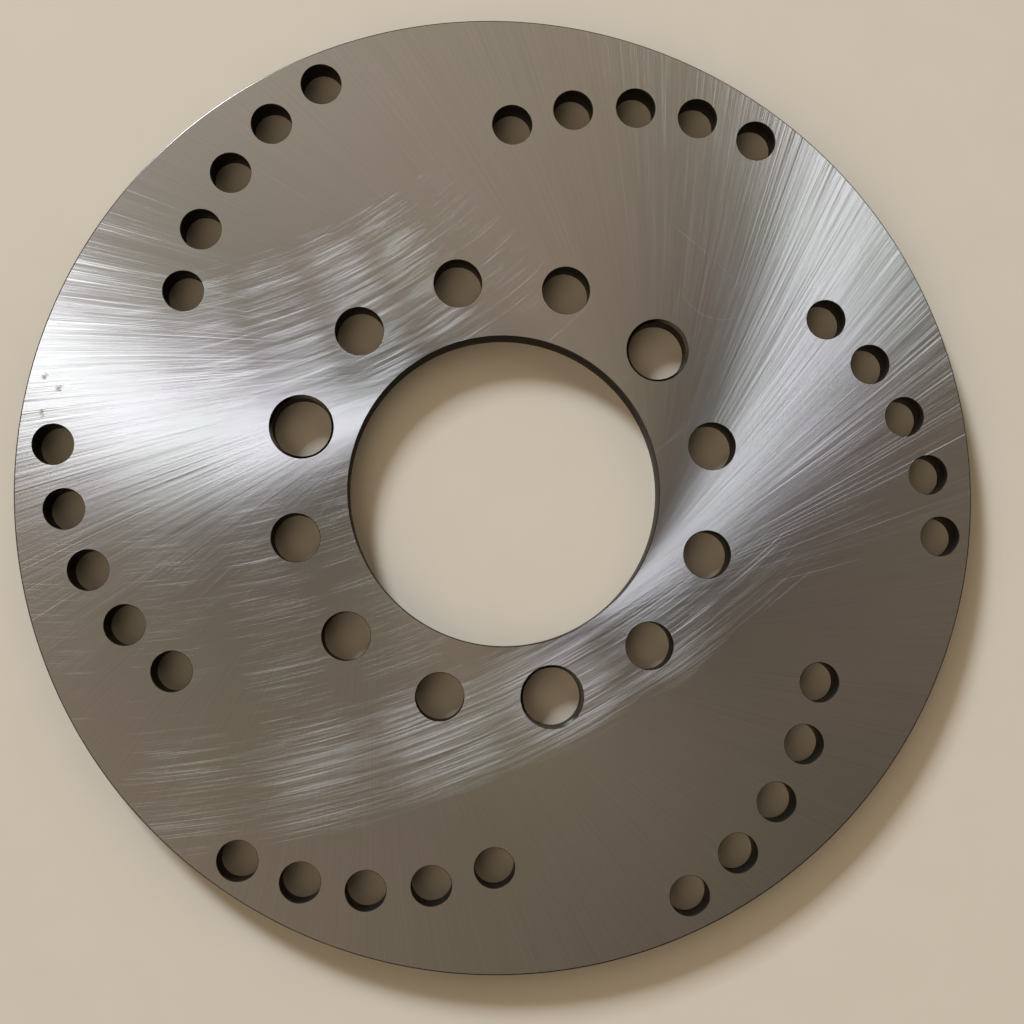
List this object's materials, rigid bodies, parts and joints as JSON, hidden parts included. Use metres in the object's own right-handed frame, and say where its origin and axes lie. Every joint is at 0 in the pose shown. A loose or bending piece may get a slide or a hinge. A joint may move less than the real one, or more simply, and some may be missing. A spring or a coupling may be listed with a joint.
{
  "type": "brake disc rotor",
  "caption": "Flat one-piece steel brake disc with a central bore, a circle of mounting holes and spiral rows of vent holes in the braking band.",
  "frame": {"origin": "on the disc's axis, in the plane of the back face that it lies on", "axes": "+Z along the disc's axis, out of the front face; -Y from the axis through one of the three large mounting holes"},
  "size_m": [0.18, 0.18, 0.004],
  "materials": {
    "ground_steel": "ground flat, with long fine arcs of grinding marks and a satin sheen"
  },
  "bodies": {
    "root": {"brake_disc": "ground_steel"}
  },
  "joints": []
}
